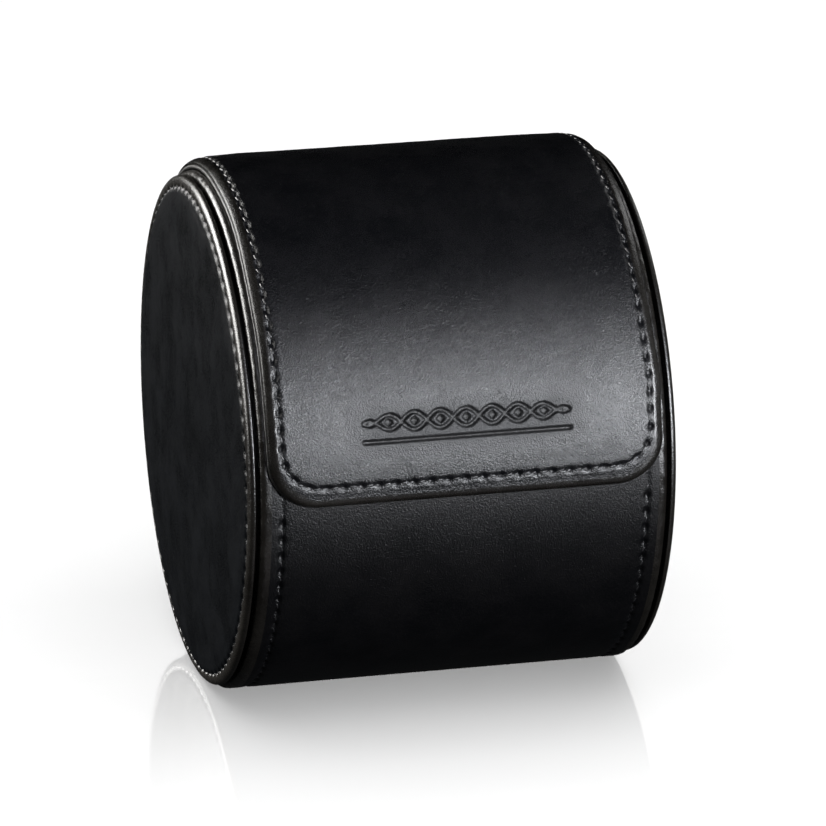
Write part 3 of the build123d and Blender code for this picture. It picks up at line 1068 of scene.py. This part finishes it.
def inner_materials():
    """Pressed fibre board, open-cell foam, magnetic rubber and cold-rolled steel strip."""
    board = Nodes("stiffener_board")
    fibre = board.noise(0.7, 4.0, 0.65, board.scaled(1.0, 0.4, 1.7))
    foam = Nodes("foam")
    magnet = Nodes("magnet_rubber")
    steel = Nodes("keeper_steel")
    lines = steel.noise(0.5, 3.0, 0.6, steel.scaled(0.08, 1.0, 1.0))
    return (
        even_material(
            board, fibre, (0.12, 0.105, 0.085), (0.24, 0.215, 0.175), (0.72, 0.9), (0.06, 0.6)),
        even_material(
            foam, foam.cells(0.6, "F1"), (0.05, 0.05, 0.055), (0.22, 0.22, 0.23), (0.85, 1.0),
            (0.2, 0.9), (0.1, 0.6)),
        even_material(
            magnet, magnet.noise(0.25, 3.0, 0.6), (0.02, 0.017, 0.015), (0.05, 0.043, 0.038),
            (0.55, 0.75), (0.03, 0.5)),
        even_material(
            steel, lines, (0.42, 0.42, 0.43), (0.58, 0.58, 0.6), (0.28, 0.45), (0.01, 0.5),
            metallic=1.0))


# ---- the stage: floor, lights and camera ----
MIRROR_REACH = 0.1
MIRROR_STRENGTH = 0.32
SURROUND_GLOW = 1.05


def floor_material():
    """Pale glossy board that mirrors the case faintly, and less and less in front of it."""
    n = Nodes("floor")
    split = n.add("ShaderNodeSeparateXYZ", Vector=n.place)
    distance = n.math("ABSOLUTE", split.outputs["Y"], 0.0)
    mirror = n.ramp(distance, 0.0, MIRROR_REACH, MIRROR_STRENGTH, 0.0)
    diffuse = n.add("ShaderNodeBsdfDiffuse", Color=(0.82, 0.82, 0.82, 1))
    glossy = n.add("ShaderNodeBsdfGlossy", Color=(1, 1, 1, 1), Roughness=0.08)
    both = n.add("ShaderNodeMixShader", Fac=mirror)
    n.put(both, 1, diffuse.outputs["BSDF"])
    n.put(both, 2, glossy.outputs["BSDF"])
    n.add("ShaderNodeOutputMaterial", Surface=both.outputs["Shader"])
    return n.material


def make_floor():
    """The floor, which the case itself doesn't mirror or take light from."""
    reach = 6000.0
    corners = [(-reach, -reach, 0), (reach, -reach, 0), (reach, reach, 0), (-reach, reach, 0)]
    surface = Surface()
    surface.polygon(surface.add(corners))
    floor = mesh_object("floor", surface, floor_material())
    floor.visible_diffuse = False
    floor.visible_glossy = False
    return floor


def only_for(light, *others, state="INCLUDE"):
    """This light reaches only the others."""
    group = bpy.data.collections.new(light.name + "_linking")
    for number, other in enumerate(others):
        group.objects.link(other)
        group.collection_objects[number].light_linking.link_state = state
    light.light_linking.receiver_collection = group


def not_for(light, *others):
    """This light reaches everything but the others, and shines through them."""
    only_for(light, *others, state="EXCLUDE")
    light.light_linking.blocker_collection = light.light_linking.receiver_collection


def make_surround(floor):
    """A white wall all round that only the floor mirrors."""
    steps = 64
    radius = 2500.0
    turns = np.linspace(0, 2 * pi, steps, endpoint=False)
    surface = Surface()
    for z in (-5.0, 2500.0):
        surface.add(joined(radius * np.cos(turns), radius * np.sin(turns), z))
    surface.strip(np.arange(steps), np.arange(steps) + steps)
    n = Nodes("surround")
    glow = n.add("ShaderNodeEmission", Color=(1, 1, 1, 1), Strength=SURROUND_GLOW)
    n.add("ShaderNodeOutputMaterial", Surface=glow.outputs["Emission"])
    wall = mesh_object("surround", surface, n.material)
    wall.visible_camera = False
    wall.visible_diffuse = False
    wall.visible_shadow = False
    only_for(wall, floor)


def face_case(piece, direction, distance):
    """Puts a light or a camera this far from the case's centre and turns it to the case."""
    piece.location = Vector((0, 0, CENTRE_Z * MM)) + direction * distance
    piece.rotation_euler = direction.to_track_quat("Z", "Y").to_euler()


def softbox(name, direction, distance, size, power, colour=(1, 1, 1)):
    """A rectangular studio light that faces the case."""
    data = bpy.data.lights.new(name, "AREA")
    data.shape = "RECTANGLE"
    data.size = size[0]
    data.size_y = size[1]
    data.energy = power
    data.color = colour
    light = placed_object(name, data)
    face_case(light, Vector(direction).normalized(), distance)
    return light


def make_lights(floor, panel):
    """The case's lights leave the floor alone, and the floor has two of its own.

    The wall at the left is weaker for the flap, so that its top stays dark from the right."""
    case_lights = [
        softbox("key", (0.43, -0.88, 0.20), 0.62, (0.25, 0.34), 7.0, (0.93, 0.955, 1.0)),
        softbox("key_fill", (0.24, -0.86, 0.56), 0.9, (0.85, 0.75), 2.8, (0.92, 0.92, 1.0)),
        softbox("rim_right", (0.74, 0.46, 0.48), 0.9, (0.25, 0.45), 0.8),
        softbox("side_right", (0.96, -0.2, 0.2), 0.9, (0.35, 0.5), 0.2),
        softbox("low_front", (0.15, -0.73, -0.66), 0.8, (0.6, 0.12), 0.16, (1.0, 0.94, 0.96)),
    ]
    for light in case_lights:
        not_for(light, floor)
    wall = (-0.80, 0.42, 0.40)
    not_for(softbox("wall_left", wall, 0.8, (1.0, 0.6), 32.0, (1.0, 0.985, 0.96)), floor, panel)
    only_for(softbox("wall_flap", wall, 0.8, (1.0, 0.45), 13.0, (1.0, 0.985, 0.96)), panel)
    only_for(softbox("floor_light", (0, -0.65, 0.76), 1.9, (4.2, 4.2), 66.0), floor)
    fill = softbox("floor_fill", (0, 0, 1), 1.9, (3.2, 3.2), 60.0)
    fill.data.use_shadow = False
    only_for(fill, floor)


def make_world():
    """White behind everything for the camera, and a dim studio for reflections."""
    world = bpy.data.worlds.new("studio")
    world.use_nodes = True
    tree = world.node_tree
    tree.nodes.clear()
    mix = tree.nodes.new("ShaderNodeMixShader")
    for number, colour, strength in ((1, (0.92, 0.96, 1.0, 1), 0.012), (2, (1, 1, 1, 1), 1.1)):
        glow = tree.nodes.new("ShaderNodeBackground")
        glow.inputs["Color"].default_value = colour
        glow.inputs["Strength"].default_value = strength
        tree.links.new(glow.outputs["Background"], mix.inputs[number])
    path = tree.nodes.new("ShaderNodeLightPath")
    output = tree.nodes.new("ShaderNodeOutputWorld")
    tree.links.new(path.outputs["Is Camera Ray"], mix.inputs["Fac"])
    tree.links.new(mix.outputs["Shader"], output.inputs["Surface"])
    bpy.context.scene.world = world


CAMERA_AZIMUTH = radians(-14.05)
CAMERA_ELEVATION = radians(17.8)
CAMERA_DISTANCE = 1.18
CAMERA_LENS = 301.6
CAMERA_SHIFT = (0.0142, 0.0017)


def make_camera():
    """A long lens, a little left of the front and above."""
    data = bpy.data.cameras.new("camera")
    data.lens = CAMERA_LENS
    data.sensor_width = 36
    data.shift_x, data.shift_y = CAMERA_SHIFT
    data.clip_end = 20
    camera = placed_object("camera", data)
    level = cos(CAMERA_ELEVATION)
    back = (sin(CAMERA_AZIMUTH) * level, -cos(CAMERA_AZIMUTH) * level, sin(CAMERA_ELEVATION))
    face_case(camera, Vector(back), CAMERA_DISTANCE)
    bpy.context.scene.camera = camera
    bpy.context.scene.view_settings.view_transform = "Standard"


# ---- putting it together ----
def bend_at_fold(piece):
    """Bakes the piece's placement into its mesh. It runs from the fixed back over the fold to the
    flap.
    """
    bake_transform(piece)


def main():
    make_camera()
    make_world()
    floor = make_floor()
    make_surround(floor)

    calf = leather("case_leather", (0.0014, 0.0016, 0.0022), (0.0032, 0.0032, 0.0040), 0.26)
    # The body's copy of the calf is darker than the flap's: painted shade on the body under the
    # flap.
    body_calf_painted_shade = leather(
        "body_leather", (0.0008, 0.0009, 0.0012), (0.0019, 0.0018, 0.0021), 0.32, specular=0.3)
    # The caps' copy of the calf is darker than the flap's: painted shade on the drum's ends.
    cap_calf_painted_shade = leather(
        "cap_leather", (0.0005, 0.0007, 0.0010), (0.0015, 0.0019, 0.0026), 0.28, 0.6, 0.14)
    waxed_calf = leather(
        "waxed_edge", (0.0034, 0.0030, 0.0025), (0.0080, 0.0071, 0.0060), 0.25, 0.5, 0.6)
    inner_calf = leather(
        "flap_lining_leather", (0.0034, 0.0033, 0.0032), (0.008, 0.0075, 0.0072), 0.4)
    thread = thread_material()
    pile = velour("velour_lining", (0.011, 0.011, 0.012), (0.032, 0.032, 0.035))
    suede = velour("cushion_suede", (0.02, 0.02, 0.021), (0.055, 0.054, 0.056), 0.3, 0.5)
    board, foam, magnet, steel = inner_materials()

    panel = flap_panel(calf, waxed_calf)
    make_lights(floor, panel)
    flap_rows = drum_directions(FLAP_STITCHES, FLAP_RADIUS, THREAD_HEIGHT)
    lip_rows = drum_directions(LIP_ROW, BODY_RADIUS, THREAD_HEIGHT - 0.02)
    flap = [
        (panel, "case_leather", ["flap_leather", "flap_tail"]),
        (flap_lining_sheet(inner_calf), "flap_lining_leather", ["flap_lining"]),
        (stitches("flap_threads", *flap_rows, thread), "thread", ["flap_seam", "tail_seam"]),
    ]
    body = [
        (body_leather(body_calf_painted_shade, waxed_calf), "case_leather", ["shell_leather"]),
        (body_velour(pile), "velour_lining", ["shell_lining"]),
        (stitches("lip_threads", *lip_rows, thread, sink=0.3), "thread", ["lip_seam"]),
    ]
    for side, sign in (("left", -1), ("right", 1)):
        body += [
            (body_threads(side, thread), "thread", [side + "_shell_seam"]),
            (cap_cover(side, sign, cap_calf_painted_shade, waxed_calf), "case_leather", [side + "_cap_leather"]),
            (cap_threads(side, sign, thread), "thread", [side + "_cap_seam"]),
            (gusset_ring(side, sign, inner_calf), "case_leather", [side + "_gusset"]),
            (cushion_piping(side, sign, suede), "cushion_suede", [side + "_cushion_end"]),
        ]
        padding = cap_foam(side, sign, foam)
        body.append((padding, "foam", [side + "_cap_padding"]))
    cushion = cushion_pad(suede)
    body.append((cushion, "cushion_suede", ["cushion_cover", "cushion_core"]))
    for piece, _, _ in flap:
        bend_at_fold(piece)
    for piece, _, _ in body:
        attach(piece, "case_body")
    for piece, slot, nodes in flap + body:
        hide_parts(*nodes)

    kept = {
        "shell_board": board, "left_cap_board": board, "right_cap_board": board,
        "flap_board": board, "left_cap_lining": pile, "right_cap_lining": pile,
        "flap_magnet": magnet, "keeper_strip": steel}
    for node, material in kept.items():
        mesh = frame["nodes"][node].data
        mesh.materials.clear()
        mesh.materials.append(material)


main()
